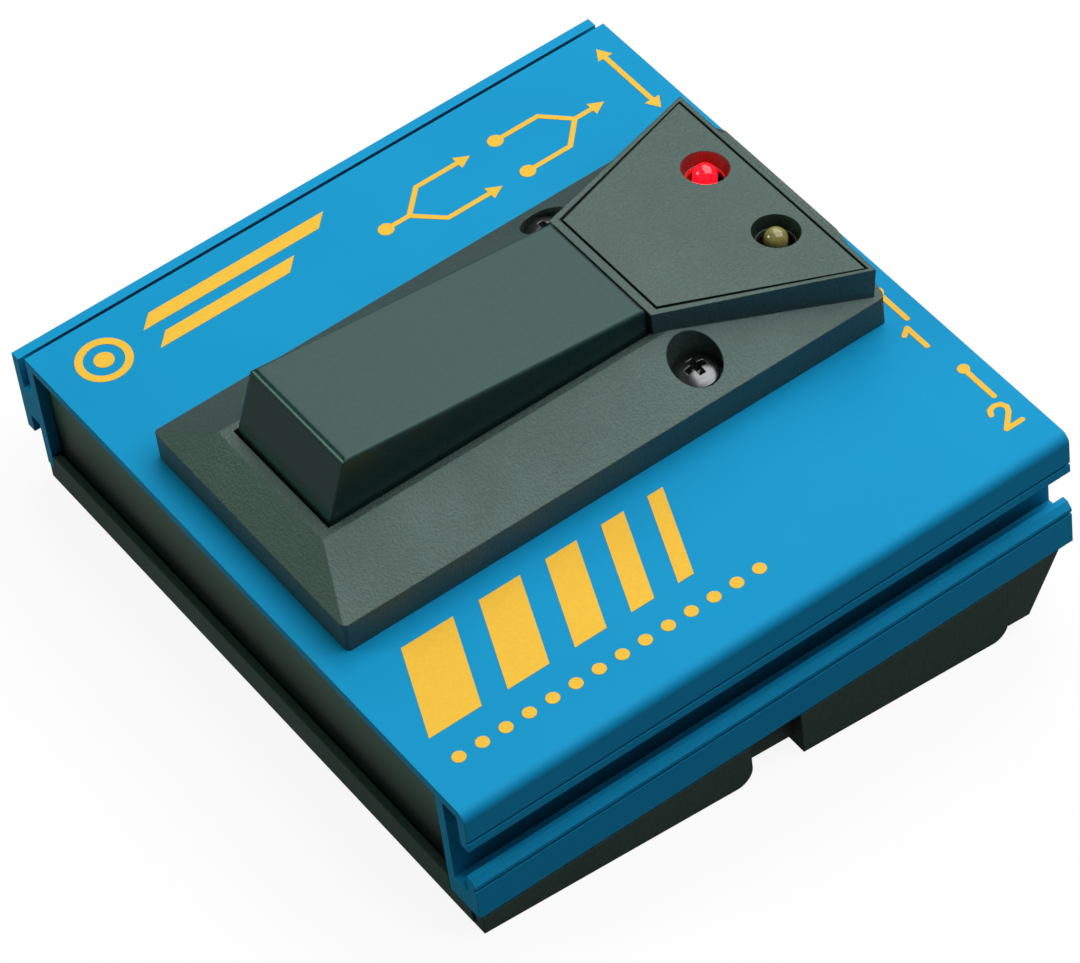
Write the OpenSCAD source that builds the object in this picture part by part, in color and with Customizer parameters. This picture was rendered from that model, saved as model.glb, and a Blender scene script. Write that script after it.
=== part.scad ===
// Two-way selector foot pedal: an extruded channel case with joining rails, a hinged
// treadle over a changeover switch, two lamps and three jacks at the rear.
// Most modules draw in the case frame: x from the middle of the channel, y from its front
// end to the rear, z from the top of its plate. The case leans back on a wedge-shaped tray.

/* [Case] */
// Length of the extruded channel, front to rear
case_len = 101; // [99:0.5:104]
// Width of the channel over its two webs
channel_w = 101.2; // [100:0.2:104]
// Depth of the channel from plate top to web ends
shell_h = 21.7; // [21.4:0.1:22.6]
// Thickness of the top plate
plate_t = 1.6; // [1.4:0.1:1.8]
// Thickness of the webs
web_t = 1.7; // [1.4:0.1:2]
// Thickness of the front and rear panels
panel_t = 1.5; // [1.2:0.1:1.8]
// How far the front panel stands inside the channel's front end
front_recess = 1.5; // [1:0.1:2]
// How far the rear panel stands inside the channel's rear end
rear_recess = 4; // [3.8:0.1:4.6]

/* [Joining rails] */
// How far the slot side stands out of the right web
slot_reach = 5; // [4.6:0.1:5.6]
// Thickness of the two slot lips
lip_t = 1.8; // [1.6:0.1:2]
// Depth of the upper lip below the plate top
mouth_top = 7.3; // [7:0.1:7.6]
// Height of the slot's mouth
mouth_h = 6.8; // [6.4:0.1:7.2]
// Depth of the slot's floor below the plate top
slot_floor = 17.5; // [17:0.1:18]
// How far the rail stands out of the left web
rail_reach = 4; // [3.8:0.1:4.2]
// Thickness of the rail's head
head_t = 1.7; // [1.5:0.1:1.9]
// Clearance round the rail of a neighbour in the slot
rail_gap = 0.4; // [0.3:0.05:0.5]

/* [Tray and feet] */
// Angle of the plate to the floor
wedge = 5; // [4.8:0.1:5.2]
// Height of the channel's lower front edge over the floor, measured along the case
front_lift = 3.45; // [3.35:0.05:3.7]
// Height of the rubber feet
foot_h = 2; // [1.8:0.1:2.2]
// How far the feet stand out of the tray's side walls
foot_out = 2; // [1.6:0.1:2.4]
// Thickness of the tray's floor
base_t = 2; // [1.8:0.1:2.2]
// Thickness of the tray's walls
base_wall = 2.3; // [2:0.1:2.6]

/* [Pedal] */
// Width of the bezel
bezel_w = 46; // [45.4:0.2:47]
// Height of the bezel's upright outer wall
bezel_edge = 5; // [4.8:0.1:5.4]
// Height of the flat ridge round the treadle
ridge_z = 10.3; // [10:0.1:10.6]
// Height of the plateau's front edge
plateau_z = 14.1; // [13.8:0.1:14.4]
// Slope of the plateau down to the rear
plateau_slope = 7; // [6.6:0.1:7.2]
// Width of the treadle
treadle_w = 22; // [21.4:0.2:22.4]
// Height of the treadle's front edge over the plate
treadle_z = 20.1; // [19.8:0.1:20.4]
// Slope of the treadle's top down to the rear
treadle_slope = 6.3; // [6.1:0.1:6.5]
// How far the treadle turns when it is pressed
press_deg = 4.5; // [3.5:0.1:4.6]

/* [Fits] */
// Radial clearance of a pin that turns or slides
run_gap = 0.06; // [0.04:0.01:0.08]
// Radial clearance of a screw in its hole
screw_gap = 0.2; // [0.1:0.05:0.25]
// Radial room between a tapped hole and its screw
tap_gap = 0.05; // [0.03:0.01:0.08]
// Clearance between pieces that move past each other
move_gap = 0.4; // [0.35:0.05:0.5]
// Width of the groove round the lamp plate
lamp_groove = 0.4; // [0.3:0.05:0.45]

/* [Standard parts] */
// Radius of the jack's plug hole
jack_bore_r = 3.2; // [3.18:0.01:3.3]
// Length of the jack's body behind the panel
jack_len = 25; // [24.5:0.5:25.5]
// Length of the nine-volt battery
battery_len = 48.5; // [47.5:0.5:48.5]
// Width of the nine-volt battery
battery_w = 26.5; // [25.5:0.5:26.5]
// Depth of the nine-volt battery
battery_t = 17.5; // [16.5:0.5:17.5]
// Radius of the lamps
lamp_r = 1.75; // [1.6:0.05:1.85]

/* [Hidden] */
$fn = 48;
eps = 0.01;
reach = 200;

// The case in the row frame: leaning back by the wedge, middle of the outline at the origin
front_h = shell_h + front_lift;
lean_z = front_h * cos(wedge);
shift_x = (rail_reach - slot_reach) / 2;
shift_y = -(case_len * cos(wedge) + shell_h * sin(wedge)) / 2;

// Channel
half_w = channel_w / 2;
web_in = half_w - web_t;
slot_x = half_w + slot_reach;
lip_round = 1.5;
bead_h = 0.5;
bead_d = 0.35;
ledge_w = 7.7;
ledge_t = 1.6;
ledge_end = 5;

// Panels and the sockets in the rear one
panel_side_gap = 0.2;
rear_face = case_len - rear_recess;
jack_w = 14;
jack_h = 15;
jack_z = -11.6;
jack_count = 3;
bushing_r = 4.7;
bushing_len = 3.4;
washer_r = 6.4;
washer_t = 0.6;
nut_flat = 12.7;
nut_t = 2;
tab_x = 5.2;
tab_z = 4.5;
tab_len = 3;
tab_w = 2.4;
tab_t = 0.6;
jack_front = rear_face - panel_t - jack_len;

// Tray, feet and the screws that hold the tray
base_left = -half_w + 0.4 + foot_out;
base_right = slot_x - foot_out;
nose_len = 2.5;
nose_drop = 2.6;
nose_lip = 2.6;
tray_rear_in = [2.5, 8.1];
tray_rear_wall = 3.4;
tray_sill = 1;
tray_rear_top = case_len - tray_rear_in[0];
tray_rear_foot = case_len - tray_rear_in[1];
foot_in = 3.2;
foot_under_lip = 0.3;
foot_y = [[0.35, 45], [53.5, 89.2]];
foot_round = 2.6;
m3_r = 1.45;
head_r = 2.75;
head_h = 1.8;
tray_screw_side = 7;
tray_screw_end = [20, 21];
tray_screw_x = half_w - tray_screw_side;
tray_screw_y = [tray_screw_end[0], case_len - tray_screw_end[1]];
tray_seat = 1.4;
tray_boss_r = 3.6;
tray_screw_out = 0.4;

// Battery, its flap and the walls beside it, in the floor frame
bay_room = 0.8;
bay_wall = 1.6;
battery_x = -web_in + ledge_w + 2 * bay_room + bay_wall + battery_w / 2;
battery_right = battery_x + battery_w / 2;
battery_y = 14;
battery_lift = 0.25;
battery_z = foot_h + base_t + battery_lift;
battery_round = 2;
stud_h = 2.4;
stud_x = 6.35;
stud_male_r = 2.9;
stud_female_r = 3.7;
snap_w = 24;
snap_h = 12;
snap_t = 3.5;
snap_off = 0.5;
bay_half = battery_w / 2 + bay_room;
bay_end_room = 2;
bay_h = 5;
bay_over = 2;
bay_front = 8.3;
bay_rear = battery_y + battery_len + snap_off + snap_t + bay_end_room;
lid_under = 0.2;
lid_t = base_t - lid_under;
lid_gap = 0.3;
lid_pin_r = 1;
lid_pin_len = 1.5;
lid_ear = 2.4;
lid_axis_in = 3.2;
lid_axis_up = 2.4;
lid_axis_y = bay_front + lid_axis_in;
lid_axis_z = foot_h + lid_axis_up;
lid_front = lid_axis_y - lid_pin_len;

// Jacks in a row, spread evenly from the battery's bay to the right web
jack_row = battery_right + 2 * bay_room + bay_wall;
jack_pitch = (web_in - jack_row) / jack_count;
jack_x = [for (i = [0 : jack_count - 1]) jack_row + jack_w / 2 + i * jack_pitch];

// Bezel and plateau
bezel_half = bezel_w / 2;
bezel_front = 4.4;
bezel_rear_in = 5.5;
bezel_rear = case_len - bezel_rear_in;
bezel_wall = 2;
ridge_half = 12.6;
ridge_in = 4.6;
ridge_y = bezel_front + ridge_in;
corner_round = 0.8;
well_half = treadle_w / 2 + move_gap;
well_in = 6.4;
well_front = bezel_front + well_in;
plateau_in = 0.75;
plateau_run = 30.25;
plateau_rear = bezel_rear - plateau_in;
plateau_front = plateau_rear - plateau_run;
plateau_len = (plateau_rear - plateau_front) / cos(plateau_slope);
plateau_half = [11.75, 22.3];
lamp_plate_v = [1.7, 29.4];
lamp_plate_half = [10.8, 21.15];
lamp_plate_t = 2;
lamp_roof = 2;
lamp_x = 8.1;
lamp_v = 24.2;
lamp_hole = [3.5, 2.9];
lamp_tip = 0.3;
lamp_len = 6.1;
lamp_bore = lamp_hole[1] - 0.1;
lamp_flange_r = 2.2;
lamp_flange_t = 1;
lamp_board_w = lamp_tip - lamp_len;
lamp_board_half = 16.6;
lamp_board_v = [20.6, 28];
lamp_boss_x = 14.5;
lamp_boss_r = 2.4;
board_t = 1.6;
small_r = 0.95;
bezel_screw_x = 17.3;
bezel_screw_in = 2.75;
bezel_screw_y = plateau_front + bezel_screw_in;
bezel_seat = 4;
bezel_bore_r = 3.8;
bezel_boss_r = 5.6;
bezel_head_r = 3.25;
bezel_head_h = 2.6;
bezel_tip = 2.4;

// Treadle, its hinge, spring and stop
treadle_half = treadle_w / 2;
treadle_foot_gap = 0.5;
treadle_lean = 3.7;
treadle_rear_gap = 0.35;
treadle_foot = well_front + treadle_foot_gap;
treadle_front = treadle_foot + treadle_lean;
treadle_rear = plateau_front - treadle_rear_gap;
treadle_rear_z = treadle_z - (treadle_rear - treadle_front) * tan(treadle_slope);
treadle_low = 6;
treadle_skin = 2;
treadle_wall = 1.6;
treadle_round = 1;
treadle_bevel = 0.4;
pin_r = 1.25;
pin_in = 3.65;
pin_y = treadle_rear - pin_in;
pin_z = 5.5;
ear_r = 2.8;
lug_t = 4;
lug_half_y = 3.5;
lug_end = 0.6;
pin_end = well_half + lug_t - lug_end;
hook_y = [22, 34];
hook_out = 1.6;
hook_top = 7.5;
spring_y = 44;
spring_r = 3.6;
spring_post = 3.5;
wire_r = 0.5;
curls = 6;
rings_per_curl = 8;
tube_sides = 6;
cup_floor = 1;
cup_h = 4;
cup_wall = 1.2;
cup_peg_r = 1.5;
cup_peg_len = 1;
stop_h = treadle_low - (pin_y - treadle_foot) * sin(press_deg) - move_gap;
stop_half = 8;
stop_run = 2.2;
stop_y = [treadle_foot - treadle_foot_gap, treadle_foot + stop_run];

// Switch and main board
switch_y = 30;
switch_w = 9;
board_z = -14;
switch_top = -4.5;
collar_r = 3.2;
collar_top = 1.5;
collar_hole_gap = 0.4;
plunger_r = 1.9;
plunger_low = -9.5;
plunger_top = 9;
cap_r = 3;
cap_h = 3;
plunger_lever = pin_y - switch_y;
plunger_travel = plunger_lever * sin(press_deg);
bore_room = 0.4;
push_gap = 0.3;
push_r = 2.5;
board_off = 4.5;
board_gap = 0.5;
board_web_off = 3.9;
board_x = [battery_right + board_off, web_in - board_web_off];
board_y = [14, jack_front - board_off];
board_screw_in = [3, 8, 4, 10];
board_screw_x = [board_x[0] + board_screw_in[0], board_x[1] - board_screw_in[1]];
board_screw_y = [board_y[0] + board_screw_in[2], board_y[1] - board_screw_in[3]];
board_boss_r = 3;
board_head_r = 2.3;
board_head_h = 1.7;
m25_r = 1.2;
board_screw_len = 5;
pin_pitch = 2.5;
solder_r = 0.4;
solder_low = -17;
solder_gap = 0.15;
lead_hole_r = 3.2;
lead_in = 21;
lead_y = plateau_front + lead_in;
lead_r = 0.6;
lead_half = 1.2;
lamp_lead_z = -5;
lamp_lead_x = jack_row - 2 * lead_half;

// Height in the case frame of the level h over the floor, at a place y along the case
function level(y, h) = -front_h - y * tan(wedge) + h / cos(wedge);
// A point of the floor frame, given in the case frame
function from_floor(p) = [
    p.x,
    p.y * cos(wedge) + (p.z - lean_z) * sin(wedge),
    -p.y * sin(wedge) + (p.z - lean_z) * cos(wedge)
];
// Height of the treadle's top at a place y along the case
function treadle_top(y) = treadle_z - (y - treadle_front) * tan(treadle_slope);
function unit(v) = v / norm(v);

// Frames
module floor_frame() {
    translate([shift_x, shift_y, 0]) children();
}
module case_frame() {
    translate([shift_x, shift_y, lean_z]) rotate([wedge, 0, 0]) children();
}
module plateau_frame() {
    translate([0, plateau_front, plateau_z]) rotate([-plateau_slope, 0, 0]) children();
}
// The floor frame, seen from inside the case frame
module floor_in_case() {
    rotate([-wedge, 0, 0]) translate([0, 0, -lean_z]) children();
}

// Shapes that repeat
module along_x(x0, x1) {
    translate([x0, 0, 0]) rotate([90, 0, 90]) linear_extrude(x1 - x0) children();
}
module along_y(y0, y1) {
    translate([0, y1, 0]) rotate([90, 0, 0]) linear_extrude(y1 - y0) children();
}
module block(lo, hi) {
    translate(lo) cube(hi - lo);
}
module mirror_x() {
    children();
    mirror([1, 0, 0]) children();
}
// A convex outline with a round of its own on each corner
module rounded_outline(points, rounds) {
    n = len(points);
    difference() {
        polygon(points);
        for (i = [0 : n - 1]) if (rounds[i] > 0) {
            p = points[i];
            to_prev = unit(points[(i + n - 1) % n] - p);
            to_next = unit(points[(i + 1) % n] - p);
            half = acos(to_prev * to_next) / 2;
            back = rounds[i] / tan(half);
            inward = unit(to_prev + to_next);
            middle = p + inward * rounds[i] / sin(half);
            over = 1 + eps / rounds[i];
            difference() {
                polygon([
                    p - inward * eps / sin(half),
                    middle + over * (p + to_prev * back - middle),
                    middle,
                    middle + over * (p + to_next * back - middle)
                ]);
                translate(middle) circle(rounds[i]);
            }
        }
    }
}
module trapezoid(v, half) {
    polygon([[-half[0], v[0]], [half[0], v[0]], [half[1], v[1]], [-half[1], v[1]]]);
}
module rod(p, q, r) {
    run = q - p;
    translate(p)
        rotate([0, acos(run.z / norm(run)), atan2(run.y, run.x)])
            cylinder(r = r, h = norm(run));
}
// A lead bent along a route, with round elbows
module lead(route) {
    for (i = [1 : len(route) - 1]) rod(route[i - 1], route[i], lead_r);
    for (i = [1 : len(route) - 2]) translate(route[i]) sphere(lead_r);
}
// A pan-head screw with its head up and its seat at z = 0
module cross_screw(head, head_high, shank, shank_long) {
    dome = head_high * 0.45;
    dome_r = (head * head + dome * dome) / (2 * dome);
    arm = head * 0.55;
    slot_half = head * 0.17;
    narrow = 0.5;
    bottom = head_high * 0.35;
    top = head_high + eps;
    difference() {
        union() {
            intersection() {
                cylinder(r = head, h = head_high);
                translate([0, 0, head_high - dome_r]) sphere(dome_r);
            }
            translate([0, 0, -shank_long]) cylinder(r = shank, h = shank_long + eps);
        }
        for (turn = [0, 90]) rotate(turn) intersection() {
            along_y(-head, head) trapezoid([bottom, top], slot_half * [narrow, 1]);
            along_x(-head, head) trapezoid([bottom, top], arm * [narrow, 1]);
        }
    }
}

// Channel with its joining rails
module shell_outline() {
    rail_x = -half_w - rail_reach;
    lip_x = slot_x - lip_t;
    mouth_low = mouth_top + mouth_h;
    difference() {
        union() {
            translate([-half_w, -plate_t]) square([channel_w + slot_reach, plate_t]);
            for (x = [-half_w, web_in]) translate([x, -shell_h]) square([web_t, shell_h]);
            for (x = [-web_in - eps, web_in - ledge_w])
                translate([x, -shell_h]) square([ledge_w + eps, ledge_t]);
            translate([lip_x, -mouth_top]) square([lip_t, mouth_top]);
            translate([half_w - eps, -shell_h]) square([slot_reach + eps, shell_h - slot_floor]);
            translate([lip_x, -shell_h]) square([lip_t, shell_h - mouth_low]);
            translate([rail_x, -slot_floor + rail_gap])
                square([head_t, slot_floor - plate_t - 2 * rail_gap]);
            translate([rail_x + eps, -mouth_low + rail_gap])
                square([rail_reach, mouth_h - 2 * rail_gap]);
        }
        translate([slot_x - lip_round, -lip_round]) difference() {
            square(lip_round + eps);
            circle(lip_round);
        }
        for (bead_z = [-mouth_top + 1.4, -mouth_low - 2])
            translate([slot_x - bead_d, bead_z]) square([bead_d + eps, bead_h]);
        translate([slot_x, -mouth_low]) rotate(45) square(lip_t * 0.7, center = true);
    }
}
module shell() {
    color([0.09, 0.6, 0.85]) case_frame() difference() {
        along_y(0, case_len) shell_outline();
        for (end = [[-eps, ledge_end], [case_len - ledge_end - 2, case_len + eps]])
            block([-web_in, end[0], -shell_h - eps], [web_in, end[1], -shell_h + ledge_t + eps]);
        for (x = [-tray_screw_x, tray_screw_x], y = tray_screw_y)
            translate([x, y, -shell_h - eps]) cylinder(r = m3_r + tap_gap, h = ledge_t + 2 * eps);
        translate([0, 0, -plate_t - eps]) linear_extrude(plate_t + 2 * eps) {
            translate([0, switch_y]) circle(collar_r + collar_hole_gap);
            translate([0, spring_y]) circle(cup_peg_r + tap_gap);
            translate([lamp_lead_x, lead_y]) circle(lead_hole_r);
            for (side = [-1, 1])
                translate([side * bezel_screw_x, bezel_screw_y]) circle(m3_r + tap_gap);
        }
    }
}

// Wedge tray that closes the channel from below
module tray_side(y0) {
    polygon([
        [y0, -shell_h],
        [y0, level(y0, foot_h)],
        [tray_rear_foot, level(tray_rear_foot, foot_h)],
        [tray_rear_top, -shell_h]
    ]);
}
// Behind the feet the tray is as wide as they are
module tray_solid() {
    along_x(base_left, base_right) tray_side(0);
    along_x(base_left - foot_out, base_right + foot_out) tray_side(foot_y[1][1]);
}
// Strip along the front edge, under the ends of the channel
module tray_nose() {
    along_x(base_left - foot_out, base_right)
        translate([0, -shell_h - nose_drop]) square([nose_len, nose_drop]);
}
module tray_pocket() {
    floor_h = foot_h + base_t;
    pocket_front = (shell_h - front_h + floor_h / cos(wedge)) / tan(wedge);
    rear_in = tray_rear_foot - tray_rear_wall;
    sill_in = rear_face - panel_t - tray_sill;
    along_x(base_left + base_wall, base_right - base_wall) polygon([
        [pocket_front, -shell_h + 1],
        [pocket_front, -shell_h],
        [rear_in, level(rear_in, floor_h)],
        [sill_in, -shell_h],
        [sill_in, -shell_h + 1]
    ]);
}
module board_bosses() {
    for (x = board_screw_x, y = board_screw_y)
        translate([x, y, level(y, foot_h + base_t / 2)])
            cylinder(r = board_boss_r, h = board_z - board_t - level(y, foot_h + base_t / 2));
}
module tray_screw_places() {
    for (x = [-tray_screw_x, tray_screw_x], y = tray_screw_y) translate([x, y, -shell_h]) children();
}
module battery_bay() {
    for (side = [-1, 1])
        translate([battery_x + side * (bay_half + bay_wall / 2) - bay_wall / 2, bay_front - bay_over, foot_h])
            cube([bay_wall, bay_rear - bay_front + 2 * bay_over, bay_h]);
}
module base_tray() {
    color([0.05, 0.06, 0.06]) case_frame() difference() {
        union() {
            difference() {
                tray_solid();
                tray_pocket();
            }
            tray_nose();
            block(
                [-web_in + panel_side_gap, 0, -shell_h - eps],
                [web_in - panel_side_gap, front_recess - panel_side_gap, -shell_h + nose_lip]
            );
            board_bosses();
            intersection() {
                tray_solid();
                tray_screw_places() translate([0, 0, -reach]) cylinder(r = tray_boss_r, h = reach);
            }
            intersection() {
                floor_in_case() battery_bay();
                block([-reach, 0, -reach], [reach, reach, -shell_h + ledge_t + 3]);
            }
        }
        tray_screw_places() {
            translate([0, 0, -reach]) cylinder(r = m3_r + screw_gap, h = reach + eps);
            translate([0, 0, -reach - tray_seat]) cylinder(r = head_r + 2 * screw_gap, h = reach);
        }
        for (x = board_screw_x, y = board_screw_y)
            translate([x, y, board_z - board_t - board_screw_len])
                cylinder(r = m25_r + tap_gap, h = board_screw_len + eps);
        floor_in_case() {
            block([battery_x - bay_half, bay_front, -eps], [battery_x + bay_half, bay_rear, battery_z + bay_h]);
            translate([battery_x - bay_half - bay_wall - eps, lid_axis_y, lid_axis_z]) rotate([0, 90, 0])
                cylinder(r = lid_pin_r + run_gap, h = 2 * (bay_half + bay_wall + eps));
        }
    }
}

// Rubber feet: each wraps the lower edge of the tray's side wall
module foot_side(x_out, x_in, y0, y1) {
    difference() {
        along_x(min(x_out, x_in), max(x_out, x_in)) rounded_outline([
            [y0, -shell_h - foot_under_lip],
            [y0, level(y0, 0)],
            [y1, level(y1, 0)],
            [y1, -shell_h - foot_under_lip]
        ], [0, 0, foot_round, 0]);
        tray_solid();
        tray_nose();
    }
}
module feet() {
    color([0.04, 0.05, 0.05]) case_frame() {
        left = base_left - foot_out;
        for (i = [0, 1]) {
            foot_side(slot_x, base_right - foot_in, foot_y[i][0], foot_y[i][1]);
            foot_side(left, left + foot_in, max(foot_y[i][0], nose_len + 0.3), foot_y[i][1]);
        }
    }
}
module base_screws() {
    color([0.1, 0.1, 0.1]) case_frame() tray_screw_places() translate([0, 0, -tray_seat]) mirror([0, 0, 1])
        cross_screw(head_r, head_h, m3_r, tray_seat + ledge_t + tray_screw_out);
}

// Panels
module panel(y0) {
    block([-web_in + panel_side_gap, y0, -shell_h], [web_in - panel_side_gap, y0 + panel_t, -plate_t]);
}
module front_panel() {
    color([0.06, 0.07, 0.06]) case_frame() panel(front_recess);
}
module rear_panel() {
    color([0.06, 0.07, 0.06]) case_frame() difference() {
        panel(rear_face - panel_t);
        for (x = jack_x) translate([x, rear_face + eps, jack_z]) rotate([90, 0, 0])
            cylinder(r = bushing_r + screw_gap, h = panel_t + 2 * eps);
    }
}

// Jacks, their washers and nuts
module jack(x) {
    color([0.12, 0.12, 0.12]) case_frame() translate([x, rear_face, jack_z]) difference() {
        union() {
            block([-jack_w / 2, -panel_t - jack_len, -jack_h / 2], [jack_w / 2, -panel_t, jack_h / 2]);
            translate([0, bushing_len, 0]) rotate([90, 0, 0])
                cylinder(r = bushing_r, h = bushing_len + panel_t + 1);
            for (side = [-1, 1])
                translate([side * tab_x - tab_w / 2, -panel_t - jack_len - tab_len, tab_z - tab_t / 2])
                    cube([tab_w, tab_len + 1, tab_t]);
        }
        translate([0, bushing_len + eps, 0]) rotate([90, 0, 0])
            cylinder(r = jack_bore_r, h = bushing_len + panel_t + jack_len + 2 * eps);
    }
}
module jack_common() {
    jack(jack_x[0]);
}
module jack_first() {
    jack(jack_x[1]);
}
module jack_second() {
    jack(jack_x[2]);
}
module jack_washers() {
    color([0.7, 0.7, 0.7]) case_frame() for (x = jack_x)
        translate([x, rear_face, jack_z]) rotate([-90, 0, 0]) difference() {
            cylinder(r = washer_r, h = washer_t);
            translate([0, 0, -eps]) cylinder(r = bushing_r + tap_gap, h = washer_t + 2 * eps);
        }
}
module jack_nuts() {
    color([0.75, 0.75, 0.75]) case_frame() for (x = jack_x)
        translate([x, rear_face + washer_t, jack_z]) rotate([-90, 0, 0]) difference() {
            rotate(30) cylinder(r = nut_flat / 2 / cos(30), h = nut_t, $fn = 6);
            translate([0, 0, -eps]) cylinder(r = bushing_r + tap_gap, h = nut_t + 2 * eps);
        }
}

// Bezel: sloped flanks, a well for the treadle and a raised plateau for the lamps
module bezel_form(inset) {
    top = ridge_z - inset;
    intersection() {
        along_y(bezel_front + inset, bezel_rear - inset) polygon([
            [-bezel_half + inset, -inset],
            [bezel_half - inset, -inset],
            [bezel_half - inset, bezel_edge - inset / 2],
            [ridge_half - inset / 3, top],
            [-ridge_half + inset / 3, top],
            [-bezel_half + inset, bezel_edge - inset / 2]
        ]);
        along_x(-bezel_half, bezel_half) polygon([
            [bezel_front + inset, -inset],
            [bezel_rear - inset, -inset],
            [bezel_rear - inset, top],
            [ridge_y + inset / 3, top],
            [bezel_front + inset, bezel_edge - inset / 2]
        ]);
    }
}
module bezel_plan() {
    rounded_outline([
        [-bezel_half, bezel_front],
        [bezel_half, bezel_front],
        [bezel_half, bezel_rear],
        [-bezel_half, bezel_rear]
    ], [corner_round, corner_round, corner_round, corner_round]);
}
module plateau_block() {
    intersection() {
        plateau_frame() translate([0, 0, -reach]) linear_extrude(reach)
            trapezoid([-1, plateau_len], plateau_half + [-0.35, 0]);
        block([-reach, plateau_front, 0], [reach, plateau_rear, reach]);
    }
}
module bezel_outer() {
    intersection() {
        union() {
            bezel_form(0);
            plateau_block();
        }
        linear_extrude(reach) bezel_plan();
    }
}
module lamp_plate_area(grow) {
    trapezoid(lamp_plate_v + [-grow, grow], lamp_plate_half + [grow, grow]);
}
module bezel() {
    color([0.3, 0.32, 0.31]) case_frame() difference() {
        union() {
            difference() {
                bezel_outer();
                bezel_form(bezel_wall);
                plateau_frame() translate([0, 0, -plateau_z])
                    linear_extrude(plateau_z - lamp_plate_t - lamp_roof)
                        trapezoid([bezel_wall, plateau_len - bezel_wall], plateau_half - [1, 1] * bezel_wall);
                block([-well_half, well_front, -eps], [well_half, plateau_front, reach]);
            }
            intersection() {
                bezel_outer();
                union() {
                    mirror_x() translate([bezel_screw_x, bezel_screw_y, 0])
                        cylinder(r = bezel_boss_r, h = reach);
                    mirror_x() block(
                        [well_half, pin_y - lug_half_y, pin_z - lug_half_y],
                        [well_half + lug_t, pin_y + lug_half_y, ridge_z]
                    );
                }
            }
            plateau_frame() mirror_x() translate([lamp_boss_x, lamp_v, lamp_board_w])
                cylinder(r = lamp_boss_r, h = -lamp_board_w - lamp_plate_t - eps);
        }
        mirror_x() translate([bezel_screw_x, bezel_screw_y, -eps]) {
            cylinder(r = m3_r + screw_gap, h = reach);
            translate([0, 0, bezel_seat]) cylinder(r = bezel_bore_r, h = reach);
        }
        translate([-pin_end, pin_y, pin_z]) rotate([0, 90, 0]) cylinder(r = pin_r + tap_gap, h = 2 * pin_end);
        plateau_frame() {
            translate([0, 0, -lamp_plate_t]) linear_extrude(reach) lamp_plate_area(lamp_groove);
            mirror_x() translate([lamp_x, lamp_v, -lamp_plate_t - lamp_roof - 1])
                cylinder(r = lamp_bore, h = reach);
            mirror_x() translate([lamp_boss_x, lamp_v, lamp_board_w - eps])
                cylinder(r = small_r + tap_gap, h = lamp_roof);
        }
    }
}
module bezel_screws() {
    color([0.08, 0.08, 0.08]) case_frame() mirror_x() translate([bezel_screw_x, bezel_screw_y, bezel_seat])
        cross_screw(bezel_head_r, bezel_head_h, m3_r, bezel_seat + plate_t + bezel_tip);
}

// Lamps, their cover plate and their board
module lamp_plate() {
    color([0.31, 0.33, 0.32]) case_frame() plateau_frame() difference() {
        translate([0, 0, -lamp_plate_t]) linear_extrude(lamp_plate_t) lamp_plate_area(0);
        mirror_x() translate([lamp_x, lamp_v, -lamp_plate_t - eps])
            cylinder(r1 = lamp_hole[1], r2 = lamp_hole[0], h = lamp_plate_t + 2 * eps);
    }
}
module lamp(x) {
    case_frame() plateau_frame() translate([x, lamp_v, lamp_board_w]) {
        cylinder(r = lamp_flange_r, h = lamp_flange_t);
        cylinder(r = lamp_r, h = lamp_len - lamp_r);
        translate([0, 0, lamp_len - lamp_r]) sphere(lamp_r);
    }
}
module lamp_red() {
    color([0.85, 0.05, 0.1]) lamp(-lamp_x);
}
module lamp_amber() {
    color([0.75, 0.6, 0.2]) lamp(lamp_x);
}
module lamp_board() {
    color([0.1, 0.35, 0.2]) case_frame() plateau_frame() difference() {
        block(
            [-lamp_board_half, lamp_board_v[0], lamp_board_w - board_t],
            [lamp_board_half, lamp_board_v[1], lamp_board_w]
        );
        mirror_x() translate([lamp_boss_x, lamp_v, lamp_board_w - board_t - eps])
            cylinder(r = small_r + screw_gap, h = board_t + 2 * eps);
    }
}
module lamp_board_screws() {
    color([0.7, 0.7, 0.7]) case_frame() plateau_frame() mirror_x()
        translate([lamp_boss_x, lamp_v, lamp_board_w - board_t]) mirror([0, 0, 1])
            cross_screw(lamp_boss_r - 0.5, small_r, small_r, board_t + lamp_roof - 0.3);
}

// Treadle: a hollow moulding that turns on a pin at its rear end
module treadle_side() {
    rounded_outline([
        [treadle_foot, treadle_low],
        [pin_y, pin_z - ear_r],
        [treadle_rear - 0.6, pin_z - ear_r],
        [treadle_rear, pin_z],
        [treadle_rear, treadle_rear_z],
        [treadle_front, treadle_z],
        [treadle_foot, ridge_z]
    ], [0, 0, 0, 0, treadle_round / 2, treadle_round, 0]);
}
module treadle_hollow() {
    top = treadle_skin / cos(treadle_slope);
    polygon([
        [treadle_foot + treadle_wall, -reach],
        [treadle_rear + 1, -reach],
        [treadle_rear + 1, treadle_top(treadle_rear + 1) - top],
        [treadle_front + treadle_wall, treadle_top(treadle_front + treadle_wall) - top],
        [treadle_foot + treadle_wall, ridge_z]
    ]);
}
module treadle_body() {
    difference() {
        intersection() {
            along_x(-treadle_half, treadle_half) treadle_side();
            translate([0, treadle_front, treadle_z]) rotate([-treadle_slope, 0, 0]) along_y(-reach, reach)
                polygon([
                    [-treadle_half, -reach],
                    [treadle_half, -reach],
                    [treadle_half, -treadle_bevel],
                    [treadle_half - treadle_bevel, 0],
                    [-treadle_half + treadle_bevel, 0],
                    [-treadle_half, -treadle_bevel]
                ]);
        }
        along_x(-treadle_half + treadle_wall, treadle_half - treadle_wall) treadle_hollow();
    }
}
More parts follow.
